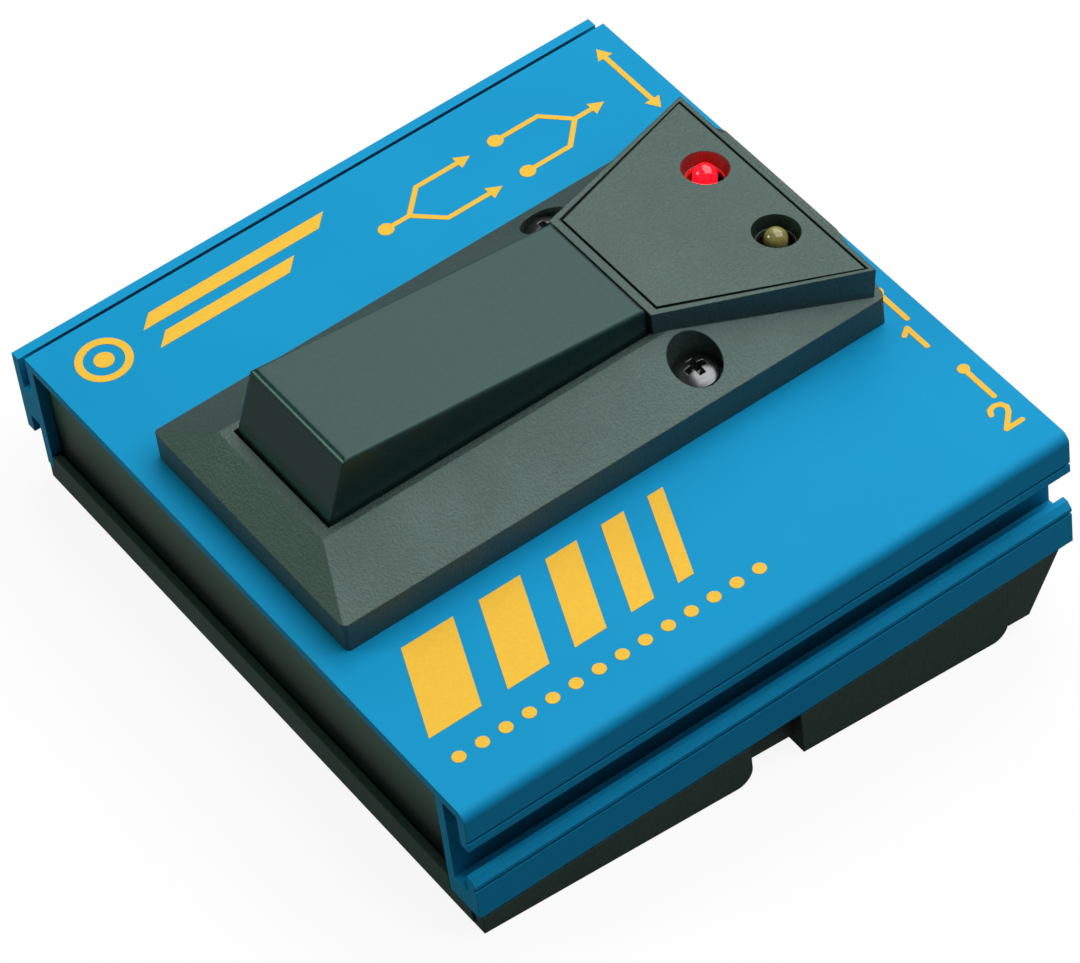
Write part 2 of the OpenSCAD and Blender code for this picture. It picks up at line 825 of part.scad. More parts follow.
module treadle_post(y, r, low) {
    translate([0, y, low]) cylinder(r = r, h = treadle_top(y) - treadle_skin - low + 0.6);
}
module treadle() {
    color([0.24, 0.29, 0.3]) case_frame() difference() {
        union() {
            treadle_body();
            treadle_post(switch_y, push_r, plunger_top + push_gap);
            treadle_post(
                spring_y,
                spring_r - wire_r - move_gap,
                treadle_top(spring_y) - treadle_skin - spring_post
            );
            mirror_x() block(
                [treadle_half - treadle_wall / 2, hook_y[0], treadle_low],
                [treadle_half + hook_out, hook_y[1], hook_top]
            );
        }
        translate([-reach, pin_y, pin_z]) rotate([0, 90, 0]) cylinder(r = pin_r + run_gap, h = 2 * reach);
    }
}
module hinge_pin() {
    color([0.7, 0.7, 0.72]) case_frame() translate([-pin_end + 0.1, pin_y, pin_z]) rotate([0, 90, 0])
        cylinder(r = pin_r, h = 2 * pin_end - 0.2);
}
module stop_pad() {
    color([0.1, 0.1, 0.1]) case_frame() block([-stop_half, stop_y[0], 0], [stop_half, stop_y[1], stop_h]);
}

// Return spring: one wire wound by formula, each end straight for one wire thickness
spring_low = cup_floor + wire_r;
spring_high = treadle_top(spring_y + spring_r + wire_r) - treadle_skin / cos(treadle_slope) - wire_r - 0.25;
spring_rings = curls * rings_per_curl;
function coil_angle(i) = i * 360 / rings_per_curl;
function coil_along(i) = [-sin(coil_angle(i)), cos(coil_angle(i)), 0];
function coil_middle(i) = [
    spring_r * cos(coil_angle(i)),
    spring_r * sin(coil_angle(i)),
    spring_low + (spring_high - spring_low) * i / spring_rings
];
coil_line = concat(
    [coil_middle(0) - 2 * wire_r * coil_along(0)],
    [for (i = [0 : spring_rings]) coil_middle(i)],
    [coil_middle(spring_rings) + 2 * wire_r * coil_along(spring_rings)]
);
coil_turn = concat([0], [for (i = [0 : spring_rings]) coil_angle(i)], [coil_angle(spring_rings)]);
coil_gap = min([
    for (i = [0 : len(coil_line) - 1], j = [i + rings_per_curl / 2 : 1 : len(coil_line) - 1])
        norm(coil_line[i] - coil_line[j]) - 2 * wire_r
]);
module return_spring() {
    echo(least_gap_between_curls = coil_gap);
    last = len(coil_line) - 1;
    ring_points = [
        for (i = [0 : last], k = [0 : tube_sides - 1])
            let (spoke = 360 * k / tube_sides)
                coil_line[i]
                + wire_r * cos(spoke) * [cos(coil_turn[i]), sin(coil_turn[i]), 0]
                + wire_r * sin(spoke) * [0, 0, 1]
    ];
    side_faces = [
        for (i = [0 : last - 1], k = [0 : tube_sides - 1])
            let (a = i * tube_sides + k, b = i * tube_sides + (k + 1) % tube_sides)
                each [[a, b, b + tube_sides], [a, b + tube_sides, a + tube_sides]]
    ];
    end_faces = [
        for (k = [1 : tube_sides - 2])
            each [[0, k + 1, k], [last * tube_sides, last * tube_sides + k, last * tube_sides + k + 1]]
    ];
    color([0.75, 0.75, 0.75]) case_frame() translate([0, spring_y, 0])
        polyhedron(ring_points, concat(side_faces, end_faces));
}
module spring_cup() {
    room = spring_r + wire_r + move_gap;
    color([0.85, 0.85, 0.8]) case_frame() translate([0, spring_y, 0]) {
        difference() {
            cylinder(r = room + cup_wall, h = cup_h);
            translate([0, 0, cup_floor]) cylinder(r = room, h = cup_h);
        }
        translate([0, 0, -plate_t - cup_peg_len]) cylinder(r = cup_peg_r, h = plate_t + cup_peg_len + eps);
    }
}

// Changeover switch and the board that carries it
module switch_body() {
    color([0.15, 0.15, 0.17]) case_frame() translate([0, switch_y, 0]) difference() {
        union() {
            block([-switch_w / 2, -switch_w / 2, board_z], [switch_w / 2, switch_w / 2, switch_top]);
            translate([0, 0, switch_top - eps]) cylinder(r = collar_r, h = collar_top - switch_top);
            for (i = [-1, 0, 1], side = [-1, 1])
                translate([side * pin_pitch, i * pin_pitch, solder_low])
                    cylinder(r = solder_r, h = board_z - solder_low + 1);
        }
        translate([0, 0, plunger_low - plunger_travel - bore_room])
            cylinder(r = plunger_r + run_gap, h = reach);
    }
}
module switch_plunger() {
    color([0.85, 0.85, 0.85]) case_frame() translate([0, switch_y, 0]) {
        translate([0, 0, plunger_low]) cylinder(r = plunger_r, h = plunger_top - plunger_low - 1);
        translate([0, 0, plunger_top - cap_h]) cylinder(r = cap_r, h = cap_h);
    }
}
module main_board() {
    color([0.1, 0.35, 0.2]) case_frame()
        translate([0, 0, board_z - board_t]) linear_extrude(board_t) difference() {
            translate([board_x[0], board_y[0]]) square([board_x[1] - board_x[0], board_y[1] - board_y[0]]);
            for (x = board_screw_x, y = board_screw_y) translate([x, y]) circle(m25_r + screw_gap);
            for (i = [-1, 0, 1], side = [-1, 1])
                translate([side * pin_pitch, switch_y + i * pin_pitch]) circle(solder_r + solder_gap);
        }
}
module board_screws() {
    color([0.7, 0.7, 0.7]) case_frame() for (x = board_screw_x, y = board_screw_y) translate([x, y, board_z])
        cross_screw(board_head_r, board_head_h, m25_r, board_t + board_screw_len - 0.5);
}

// Nine-volt battery with its snap and its flap
module battery() {
    color([0.2, 0.2, 0.22]) floor_frame() translate([battery_x, battery_y, battery_z]) {
        along_y(0, battery_len) rounded_outline([
            [-battery_w / 2, 0],
            [battery_w / 2, 0],
            [battery_w / 2, battery_t],
            [-battery_w / 2, battery_t]
        ], [battery_round, battery_round, battery_round, battery_round]);
        for (stud = [[-stud_x, stud_male_r], [stud_x, stud_female_r]])
            translate([stud[0], battery_len - eps, battery_t / 2]) rotate([-90, 0, 0])
                cylinder(r = stud[1], h = stud_h);
    }
}
module battery_snap() {
    color([0.08, 0.08, 0.08]) floor_frame()
        translate([battery_x, battery_y + battery_len + snap_off, battery_z + battery_t / 2]) difference() {
            block([-snap_w / 2, 0, -snap_h / 2], [snap_w / 2, snap_t, snap_h / 2]);
            for (stud = [[-stud_x, stud_male_r], [stud_x, stud_female_r]])
                translate([stud[0], -eps, 0]) rotate([-90, 0, 0])
                    cylinder(r = stud[1] + screw_gap, h = stud_h - 0.3);
        }
}
module battery_lid() {
    lid_half = bay_half - lid_gap;
    color([0.06, 0.07, 0.07]) floor_frame() {
        block(
            [battery_x - lid_half, lid_front, foot_h],
            [battery_x + lid_half, bay_rear - lid_gap, foot_h + lid_t]
        );
        translate([battery_x, lid_axis_y, 0]) mirror_x() {
            block(
                [lid_half - lid_ear, -lid_ear / 2, foot_h],
                [lid_half, lid_ear / 2, lid_axis_z + lid_ear / 2]
            );
            translate([lid_half - eps, 0, lid_axis_z]) rotate([0, 90, 0])
                cylinder(r = lid_pin_r, h = lid_pin_len + eps);
        }
    }
}

// Internal leads: each ends flat on a pad, a tab or the snap
module battery_leads() {
    snap_mid = battery_y + battery_len + snap_off + snap_t / 2;
    snap_low = battery_z + (battery_t - snap_h) / 2;
    side_x = board_x[0] - lead_r - board_gap;
    pad_x = board_x[0] + 2 * lead_half;
    color([0.6, 0.1, 0.1]) case_frame() for (side = [-1, 1]) {
        start_h = snap_low + lead_r + (1 + side) * lead_half + eps;
        start = from_floor([battery_x + snap_w / 2, snap_mid, start_h]);
        pad_y = switch_y + switch_w + side * lead_half;
        lead([
            start,
            [side_x, start.y, start.z],
            [side_x, pad_y, start.z],
            [pad_x, pad_y, start.z],
            [pad_x, pad_y, board_z - board_t]
        ]);
    }
}
module lamp_leads() {
    pad_y = board_y[1] - board_off;
    color([0.8, 0.75, 0.6]) case_frame() difference() {
        for (side = [-1, 1]) {
            x = lamp_lead_x + side * lead_half;
            turn_y = jack_front - tab_len + side * lead_half;
            pad_x = jack_x[0] + side * lead_half;
            lead([
                [x, lead_y, plateau_z],
                [x, lead_y, lamp_lead_z],
                [x, turn_y, lamp_lead_z],
                [pad_x, turn_y, lamp_lead_z],
                [pad_x, pad_y, lamp_lead_z],
                [pad_x, pad_y, board_z]
            ]);
        }
        plateau_frame() translate([0, 0, lamp_board_w - board_t])
            linear_extrude(reach) square(reach, center = true);
    }
}
module jack_leads() {
    start_y = jack_front - tab_len;
    start_z = jack_z + tab_z;
    pad_y = board_y[1] - board_off / 2;
    color([0.5, 0.5, 0.52]) case_frame() for (x = jack_x, side = [-1, 1]) {
        pad_x = x + side * tab_x;
        lead([[pad_x, start_y, start_z], [pad_x, pad_y, start_z], [pad_x, pad_y, board_z]]);
    }
}

shell();
base_tray();
feet();
base_screws();
front_panel();
rear_panel();
jack_common();
jack_first();
jack_second();
jack_washers();
jack_nuts();
bezel();
bezel_screws();
lamp_plate();
lamp_red();
lamp_amber();
lamp_board();
lamp_board_screws();
treadle();
hinge_pin();
stop_pad();
return_spring();
spring_cup();
switch_body();
switch_plunger();
main_board();
board_screws();
battery();
battery_snap();
battery_lid();
battery_leads();
lamp_leads();
jack_leads();
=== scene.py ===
# %% [markdown]
# # A two-way foot pedal, dressed for its photograph
# The pedal is a switch box for the floor: a blue extruded case, a black bezel with the treadle
# that the foot presses, two lamps, and the works inside. Its construction comes packed as a
# frame of separate solids. They could be modelled again here, but looks and construction would
# then drift apart, so they are loaded as they are. This lesson lights them, gives each one the
# finish of the real piece and adds the print, which is too thin for construction. Everything
# is in metres, and a node's place is in its mesh.

# %% Load the frame
from math import atan2, cos, pi, radians, sin

import bpy
from mathutils import Matrix, Vector


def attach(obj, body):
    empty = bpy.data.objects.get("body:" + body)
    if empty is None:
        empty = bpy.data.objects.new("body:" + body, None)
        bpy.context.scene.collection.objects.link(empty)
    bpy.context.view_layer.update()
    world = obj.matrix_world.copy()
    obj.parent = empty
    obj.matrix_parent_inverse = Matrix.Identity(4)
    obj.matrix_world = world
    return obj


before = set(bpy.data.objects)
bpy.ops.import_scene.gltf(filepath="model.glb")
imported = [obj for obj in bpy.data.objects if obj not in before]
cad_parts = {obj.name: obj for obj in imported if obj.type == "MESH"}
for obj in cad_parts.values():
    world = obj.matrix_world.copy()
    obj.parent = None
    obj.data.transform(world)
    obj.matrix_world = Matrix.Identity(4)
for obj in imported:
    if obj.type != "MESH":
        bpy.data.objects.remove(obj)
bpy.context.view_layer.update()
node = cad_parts
bpy.ops.object.select_all(action="DESELECT")

# %% [markdown]
# ## The case's own frame
# The case leans back by five degrees on its wedge-shaped tray. The print could be placed in the
# shared frame, but every point would then need the lean worked in. It is easier in the case's
# own frame: x from the middle of the channel, y from its front end, z from the top of its
# plate, in millimetres. One matrix takes that frame to the shared one.

# %% Case frame
MM = 0.001
WEDGE = radians(5)
CASE_LEN = 101
SHELL_H = 21.7
FRONT_H = 25.15
SHIFT_X = -0.5
SHIFT_Y = -(CASE_LEN * cos(WEDGE) + SHELL_H * sin(WEDGE)) / 2
case_to_shared = (
    Matrix.Translation(Vector((SHIFT_X, SHIFT_Y, FRONT_H * cos(WEDGE))) * MM)
    @ Matrix.Rotation(WEDGE, 4, "X")
    @ Matrix.Scale(MM, 4)
)
print("front edge of the plate at", case_to_shared @ Vector((0, 0, 0)))

# %% [markdown]
# ## Camera
# The picture was taken with a long lens from the right, in front and above, which keeps
# parallel edges nearly parallel, as in a catalogue. Such a viewpoint could be found by trial.
# It was solved from the edges of the case in the photograph instead, so that outlines can be
# compared closely. The place, in millimetres, and the directions are in the case frame.

# %% Camera
FRAME_WIDTH = 1080
FOCAL_PIXELS = 5684.2
SENSOR_WIDTH = 36
NEAREST, FARTHEST = 0.05, 20
camera_place = Vector((459.2, -213.9, 575.7))
camera_right = Vector((0.58546, 0.80523, -0.09399))
camera_up = Vector((-0.57042, 0.49154, 0.65804))
camera_back = camera_right.cross(camera_up)
bpy.ops.object.camera_add()
camera = bpy.context.object
camera.name = "photo_camera"
camera.data.sensor_width = SENSOR_WIDTH
camera.data.lens = FOCAL_PIXELS / FRAME_WIDTH * SENSOR_WIDTH
camera.data.clip_start = NEAREST
camera.data.clip_end = FARTHEST
axes_in_case = Matrix((camera_right, camera_up, camera_back)).transposed()
turn = Matrix.Rotation(WEDGE, 3, "X") @ axes_in_case
camera.matrix_world = Matrix.Translation(case_to_shared @ camera_place) @ turn.to_4x4()
bpy.context.scene.camera = camera
print("camera at", camera.location, "lens", camera.data.lens)

# %% [markdown]
# ## Wiring
# Every finish below is a tree of shader nodes. A tree can be clicked together in the shader
# editor. In a script each node, value and link would take a line of its own, so these helpers
# each add one node, set or join its sockets and hand back its output.

# %% Wiring helpers
def wire(tree, *pairs):
    """Joins output sockets to input sockets, two by two."""
    for source, target in pairs:
        tree.links.new(source, target)


def feed(tree, value, socket):
    """Sets a socket to a number or a colour, or joins an output socket to it."""
    if isinstance(value, (int, float)):
        socket.default_value = value
    elif isinstance(value, tuple):
        socket.default_value = (*value, 1)
    else:
        wire(tree, (value, socket))


def remap(tree, value, low, high, to_low, to_high):
    """A clamped map range node fed by a value; its new ends are numbers or sockets."""
    n = tree.nodes.new("ShaderNodeMapRange")
    ends = {"From Min": low, "From Max": high, "To Min": to_low, "To Max": to_high}
    for title, end_value in ends.items():
        feed(tree, end_value, n.inputs[title])
    wire(tree, (value, n.inputs["Value"]))
    return n.outputs["Result"]


def blend(tree, factor, first, second):
    """A colour between two colours, which are tuples or sockets."""
    n = tree.nodes.new("ShaderNodeMix")
    n.data_type = "RGBA"
    feed(tree, first, n.inputs["A"])
    feed(tree, second, n.inputs["B"])
    wire(tree, (factor, n.inputs["Factor"]))
    return n.outputs["Result"]


def combine(tree, operation, *values):
    """A maths node on numbers or sockets."""
    n = tree.nodes.new("ShaderNodeMath")
    n.operation = operation
    for value, socket in zip(values, n.inputs):
        feed(tree, value, socket)
    return n.outputs[0]


print("wiring helpers ready")

# %% [markdown]
# ## Floor
# The photograph is a cut-out on white. Brighter lamps would make a floor white too, but they
# would wash out the pedal. So the floor is a plane that keeps the contact shadow, and the camera
# sees it mixed with a large share of plain white. Reflections see a little of that white, and
# less of it to the right, because the right-hand walls of the real case stay dark.

# %% Floor
FLOOR_SIZE = 6
FLOOR_DROP = 0.0001
BOUNCE_TONE = (0.14, 0.14, 0.14)
SEEN_TONE = (0.95, 0.95, 0.95)
WHITE_SHARE = 0.9
GLOW_FADE = (0.0, 0.07)
GLOW_SHARE = (0.2, 0.1)
bpy.ops.mesh.primitive_plane_add(size=FLOOR_SIZE, location=(0, 0, -FLOOR_DROP))
floor = bpy.context.object
floor.name = "studio_floor"
paper = bpy.data.materials.new("studio_paper")
paper.use_nodes = True
tree = paper.node_tree
tree.nodes.clear()
path = tree.nodes.new("ShaderNodeLightPath")
place = tree.nodes.new("ShaderNodeTexCoord")
axes = tree.nodes.new("ShaderNodeSeparateXYZ")
matt = tree.nodes.new("ShaderNodeBsdfDiffuse")
glow = tree.nodes.new("ShaderNodeEmission")
glow.inputs["Strength"].default_value = 1.0
mix = tree.nodes.new("ShaderNodeMixShader")
out = tree.nodes.new("ShaderNodeOutputMaterial")
by_camera = path.outputs["Is Camera Ray"]
tone = blend(tree, by_camera, BOUNCE_TONE, SEEN_TONE)
seen = combine(tree, "MAXIMUM", by_camera, path.outputs["Is Transmission Ray"])
white = combine(tree, "MULTIPLY", seen, WHITE_SHARE)
fade = remap(tree, axes.outputs["X"], *GLOW_FADE, *GLOW_SHARE)
share = combine(tree, "MULTIPLY_ADD", path.outputs["Is Glossy Ray"], fade, white)
wire(
    tree,
    (place.outputs["Object"], axes.inputs[0]),
    (tone, matt.inputs["Color"]),
    (share, mix.inputs[0]),
    (matt.outputs[0], mix.inputs[1]),
    (glow.outputs[0], mix.inputs[2]),
    (mix.outputs[0], out.inputs["Surface"]),
)
floor.data.materials.append(paper)
print("floor of", FLOOR_SIZE, "m with", len(tree.nodes), "nodes")

# %% [markdown]
# ## World
# Beyond the floor's edge the picture has to stay white as well. A white world would do that, but
# it would also light the pedal from all sides and flatten it. The camera sees plain white, and
# everything else gets a dim share that only lifts the deepest shadows.

# %% World
WORLD_DIM = 0.05
world = bpy.data.worlds.new("studio_world")
bpy.context.scene.world = world
world.use_nodes = True
tree = world.node_tree
tree.nodes.clear()
path = tree.nodes.new("ShaderNodeLightPath")
dim = tree.nodes.new("ShaderNodeBackground")
dim.inputs["Color"].default_value = (1, 1, 1, 1)
dim.inputs["Strength"].default_value = WORLD_DIM
backdrop = tree.nodes.new("ShaderNodeBackground")
backdrop.inputs["Color"].default_value = (1, 1, 1, 1)
mix = tree.nodes.new("ShaderNodeMixShader")
out = tree.nodes.new("ShaderNodeOutputWorld")
wire(
    tree,
    (path.outputs["Is Camera Ray"], mix.inputs[0]),
    (dim.outputs[0], mix.inputs[1]),
    (backdrop.outputs[0], mix.inputs[2]),
    (mix.outputs[0], out.inputs["Surface"]),
)
print("world lights with", WORLD_DIM)

# %% [markdown]
# ## Lamps of the studio
# The black plastics are dark in themselves: their tops look grey because they mirror a broad
# soft light, and their upright sides stay dark. Small lamps would give hard shadows and points
# of glare, so the light comes from square area lamps: a broad soft box overhead and a little to
# the rear, a smaller one at the rear left, and a fill at the front left. The fill draws the
# bright line along the treadle's rounded front edge, and it is a little green, as the pedal's
# front faces are in the photograph.

# %% Lamps of the studio
def soft_box(name, place, size, watts, tone=(1, 1, 1)):
    """A square area lamp at a place in the shared frame, in metres, turned to the middle."""
    bpy.ops.object.light_add(type="AREA", location=place)
    lamp = bpy.context.object
    lamp.name = name
    lamp.data.shape = "SQUARE"
    lamp.data.size = size
    lamp.data.energy = watts
    lamp.data.color = tone
    lamp.rotation_euler = (-Vector(place)).to_track_quat("-Z", "Y").to_euler()
    return lamp


lamps = [
    soft_box("key_box", place=(0.08, 0.42, 1.0), size=1.4, watts=16.8),
    soft_box("sheen_box", place=(-0.95, 0.65, 1.0), size=0.8, watts=3.8),
    soft_box("front_fill", place=(-0.8, -1.1, 0.6), size=0.5, watts=5.5, tone=(0.76, 1.0, 0.84)),
]
print("lamps:", [(lamp.name, lamp.data.energy) for lamp in lamps])

# %% [markdown]
# ## Moulded grain
# The black parts come from moulds with a fine spark-eroded grain, which shows as specks of two
# tones and as tiny bumps. An image would do for one piece, but it has to be unwrapped and it
# ends at some size. Noise on Object coordinates sticks to the piece at any size. It is a node
# group with named sockets, because plastics, rubber and ink all use it with their own values.

# %% Grain group
def new_group(name, inputs, outputs):
    """An empty shader group with float or colour sockets, given as name: default."""
    group = bpy.data.node_groups.new(name, "ShaderNodeTree")
    for title, value in inputs.items():
        kind = "NodeSocketColor" if isinstance(value, tuple) else "NodeSocketFloat"
        socket = group.interface.new_socket(title, in_out="INPUT", socket_type=kind)
        socket.default_value = value
    for title, kind in outputs.items():
        group.interface.new_socket(title, in_out="OUTPUT", socket_type=kind)
    start = group.nodes.new("NodeGroupInput")
    end = group.nodes.new("NodeGroupOutput")
    return group, start, end


def noise(tree, coords, scale, detail=2.0, rough=0.5):
    """The value of a noise texture on given coordinates; scale is a number or a socket."""
    n = tree.nodes.new("ShaderNodeTexNoise")
    n.inputs["Detail"].default_value = detail
    n.inputs["Roughness"].default_value = rough
    feed(tree, scale, n.inputs["Scale"])
    wire(tree, (coords, n.inputs["Vector"]))
    return n.outputs["Fac"]


def own_place(tree):
    """The piece's own coordinates."""
    return tree.nodes.new("ShaderNodeTexCoord").outputs["Object"]


SPECK_RANGE = (0.35, 0.68)
grain_group, start, end = new_group(
    "moulded_grain",
    {"Grains per metre": 2600.0, "Dark": (0.02, 0.02, 0.02, 1), "Light": (0.05, 0.05, 0.05, 1)},
    {"Height": "NodeSocketFloat", "Color": "NodeSocketColor"},
)
grains = noise(grain_group, own_place(grain_group), start.outputs["Grains per metre"], 3.0, 0.6)
speck = remap(grain_group, grains, *SPECK_RANGE, 0.0, 1.0)
speck_tone = blend(grain_group, speck, start.outputs["Dark"], start.outputs["Light"])
wire(grain_group, (speck, end.inputs["Height"]), (speck_tone, end.inputs["Color"]))
print(grain_group.name, "with", len(grain_group.nodes), "nodes")

# %% [markdown]
# ## Handled sheen
# Hands and shoes leave every surface a little uneven in its sheen. A constant roughness would
# look like a drawing. Slow noise between a smooth and a dull value is enough, again as a group,
# because plastic and paint share it.

# %% Sheen group
PATCH_RANGE = (0.3, 0.7)
sheen_group, start, end = new_group(
    "handled_sheen",
    {"Patches per metre": 60.0, "Smooth": 0.35, "Dull": 0.5},
    {"Roughness": "NodeSocketFloat"},
)
patch = noise(sheen_group, own_place(sheen_group), start.outputs["Patches per metre"], 4.0, 0.6)
level = remap(sheen_group, patch, *PATCH_RANGE, start.outputs["Smooth"], start.outputs["Dull"])
wire(sheen_group, (level, end.inputs["Roughness"]))
print(sheen_group.name, "with", len(sheen_group.nodes), "nodes")

# %% [markdown]
# ## Material helpers
# On a real moulding no edge is quite sharp, and a soft edge catches the light. A Bevel modifier
# would change the mesh of a CAD node, which has to stay as it is. A Bevel node rounds only the
# shading, and a Bump node lays the grain's height over it, so the grain also breaks up the
# highlights.

# %% Material helpers
EDGE_SAMPLES = 6


def new_material(name, roughness=0.5):
    """A bare Principled shader; returns the material, its tree and the shader."""
    m = bpy.data.materials.new(name)
    m.use_nodes = True
    shader = m.node_tree.nodes["Principled BSDF"]
    shader.inputs["Roughness"].default_value = roughness
    return m, m.node_tree, shader


def use_group(tree, group, **values):
    """Places a group in a tree with its own values, written with underscores for spaces."""
    n = tree.nodes.new("ShaderNodeGroup")
    n.node_tree = group
    for key, value in values.items():
        n.inputs[key.replace("_", " ")].default_value = value
    return n


def add_bump(tree, height, shader, strength, distance, edge=0.0):
    """Feeds a height in metres into the shader's normal, over edges rounded by a radius."""
    b = tree.nodes.new("ShaderNodeBump")
    b.inputs["Strength"].default_value = strength
    b.inputs["Distance"].default_value = distance
    if edge:
        soft = tree.nodes.new("ShaderNodeBevel")
        soft.samples = EDGE_SAMPLES
        soft.inputs["Radius"].default_value = edge
        wire(tree, (soft.outputs["Normal"], b.inputs["Normal"]))
    wire(tree, (height, b.inputs["Height"]), (b.outputs["Normal"], shader.inputs["Normal"]))


print("material helpers ready")

# %% [markdown]
# ## Painted shade in hollows
# The lamp holes and the joining slot are nearly black inside, and the front panel darkens
# towards the ledge at its foot. Light alone leaves them too bright under such broad lamps, so
# their shade is painted into the colour. An Ambient Occlusion node measures how much open sky a
# point has within a reach, and that share dims the colour, so the painted shade stays in the
# hollow from every side. The panel is flat, so its own height is enough: its painted shade falls
# towards its foot, with a little painted light at its top.

# %% Painted shade in hollows
SKY_SAMPLES = 8
# painted shade and light of the end panel: heights in metres, and the share of colour there
PANEL_RISE = (0.0095, 0.022)
PANEL_PAINTED_SHADE = (0.08, 1.25)


def dimmed(tree, tone, value):
    """A colour times a value."""
    n = tree.nodes.new("ShaderNodeVectorMath")
    n.operation = "SCALE"
    wire(tree, (tone, n.inputs[0]), (value, n.inputs["Scale"]))
    return n.outputs[0]


def openness(tree, reach, closed, clear, least):
    """A painted-shade factor: one where the open sky within a reach in metres is clear, down to
    least where closed.
    """
    n = tree.nodes.new("ShaderNodeAmbientOcclusion")
    n.samples = SKY_SAMPLES
    n.inputs["Distance"].default_value = reach
    return remap(tree, n.outputs["AO"], closed, clear, least, 1.0)


def lamp_hole_shade(tree):
    """Painted shade: dark inside the lamp holes, one on the face of the cover."""
    return openness(tree, reach=0.008, closed=0.5, clear=0.95, least=0.3)


def slot_shade(tree):
    """Painted shade: nearly black deep in the joining slot, one on open faces."""
    return openness(tree, reach=0.012, closed=0.12, clear=0.42, least=0.06)


def panel_foot_shade(tree):
    """Painted shade on the end panel: a little lighter at its top, falling towards the ledge at
    its foot.
    """
    axes = tree.nodes.new("ShaderNodeSeparateXYZ")
    wire(tree, (own_place(tree), axes.inputs[0]))
    return remap(tree, axes.outputs["Z"], *PANEL_RISE, *PANEL_PAINTED_SHADE)


print("hollows:", [hollow.__name__ for hollow in (lamp_hole_shade, slot_shade, panel_foot_shade)])

# %% [markdown]
# ## Plastics and rubber
# Bezel and cover are matt and grained, the treadle is smoother where shoes polish it, and tray
# and feet are duller. Each could have a tree of its own. One function makes them all from a
# dark and a light tone, so they differ only in tone, grain and sheen, as pieces from the same
# moulder do. Their sheen is a little cool.

# %% Plastics and rubber
COOL = (0.72, 1.0, 0.92)
COLD = (0.62, 1.0, 0.93)


def plastic(
    name, dark, light, grains, sheen, depth,
    strength=0.5, specular=0.5, edge=0.0, tint=(1, 1, 1), painted_shade=None,
):
    """A moulded plastic: speckled tone, uneven sheen and a fine grain in the surface, with
    painted shade where a function gives it.
    """
    m, tree, shader = new_material(name)
    shader.inputs["Specular IOR Level"].default_value = specular
    shader.inputs["Specular Tint"].default_value = (*tint, 1)
    grain = use_group(
        tree, grain_group, Grains_per_metre=grains, Dark=(*dark, 1), Light=(*light, 1)
    )
    gloss = use_group(tree, sheen_group, Smooth=sheen[0], Dull=sheen[1])
    tone = grain.outputs["Color"]
    # painted shade: dims the tone and the specular level in hollows
    if painted_shade:
        shade = painted_shade(tree)
        tone = dimmed(tree, tone, shade)
        shine = remap(tree, shade, 0.0, 1.0, 0.0, specular)
        wire(tree, (shine, shader.inputs["Specular IOR Level"]))
    wire(
        tree,
        (tone, shader.inputs["Base Color"]),
        (gloss.outputs["Roughness"], shader.inputs["Roughness"]),
    )
    add_bump(tree, grain.outputs["Height"], shader, strength, depth, edge)
    return m


grained = {
    "dark": (0.018, 0.034, 0.029), "light": (0.038, 0.058, 0.05), "grains": 2400,
    "sheen": (0.46, 0.56), "depth": 0.00005, "strength": 0.75, "specular": 1.0, "tint": COOL,
}
bezel_plastic = plastic("bezel_plastic", **grained, edge=0.0003)
# the cover's lamp holes get painted shade
cover_plastic = plastic("cover_plastic", **grained, edge=0.0002, painted_shade=lamp_hole_shade)
treadle_plastic = plastic(
    "treadle_plastic", dark=(0.009, 0.029, 0.025), light=(0.012, 0.034, 0.03), grains=1500,
    sheen=(0.2, 0.28), depth=0.00001, specular=0.48, edge=0.0006, tint=COLD,
)
tray_plastic = plastic(
    "tray_plastic", dark=(0.032, 0.058, 0.047), light=(0.043, 0.072, 0.06), grains=2000,
    sheen=(0.5, 0.6), depth=0.00004, specular=0.3, edge=0.0003, tint=COOL,
)
foot_rubber = plastic(
    "foot_rubber", dark=(0.036, 0.064, 0.052), light=(0.047, 0.081, 0.067), grains=1600,
    sheen=(0.6, 0.75), depth=0.00005, specular=0.25, edge=0.0004, tint=COOL,
)
print("outer plastics:", [m.name for m in (bezel_plastic, treadle_plastic, tray_plastic)])

# %% [markdown]
# ## Plastics inside
# Under the cover are a white plunger and cup, green boards, the battery's wrap and grey lead
# covers. They show only when the flap is open, so plain tones would nearly do, but the same
# function gives them grain and sheen at no cost.

# %% Plastics inside
white_plastic = plastic(
    "white_plastic", dark=(0.7, 0.7, 0.66), light=(0.76, 0.76, 0.72), grains=900,
    sheen=(0.35, 0.45), depth=0.00001,
)
board_resin = plastic(
    "board_resin", dark=(0.015, 0.1, 0.04), light=(0.03, 0.15, 0.07), grains=700,
    sheen=(0.3, 0.45), depth=0.00002,
)
battery_wrap = plastic(
    "battery_wrap", dark=(0.03, 0.03, 0.035), light=(0.06, 0.06, 0.065), grains=200,
    sheen=(0.2, 0.35), depth=0.00001,
)
lead_cover = plastic(
    "lead_cover", dark=(0.25, 0.25, 0.24), light=(0.33, 0.33, 0.32), grains=500,
    sheen=(0.4, 0.5), depth=0.00001,
)
print("inner plastics:", [m.name for m in (white_plastic, board_resin, battery_wrap, lead_cover)])

# %% [markdown]
# ## Paint
# The case is a painted aluminium extrusion, and its end panels and tray screws are black. Paint
# has a soft orange-peel unevenness and tiny shifts of tone. It could be a flat colour with a
# clear coat, but the real one is satin, so two close tones drift into each other over slow
# noise and a fine bump breaks up the sheen. Painted shade darkens the blue deep in the joining
# slot, and the panels get painted shade towards their foot, with a little painted light at their
# top.

# %% Paint
CLOUDS_PER_METRE = 35
PEEL_STRENGTH = 0.25


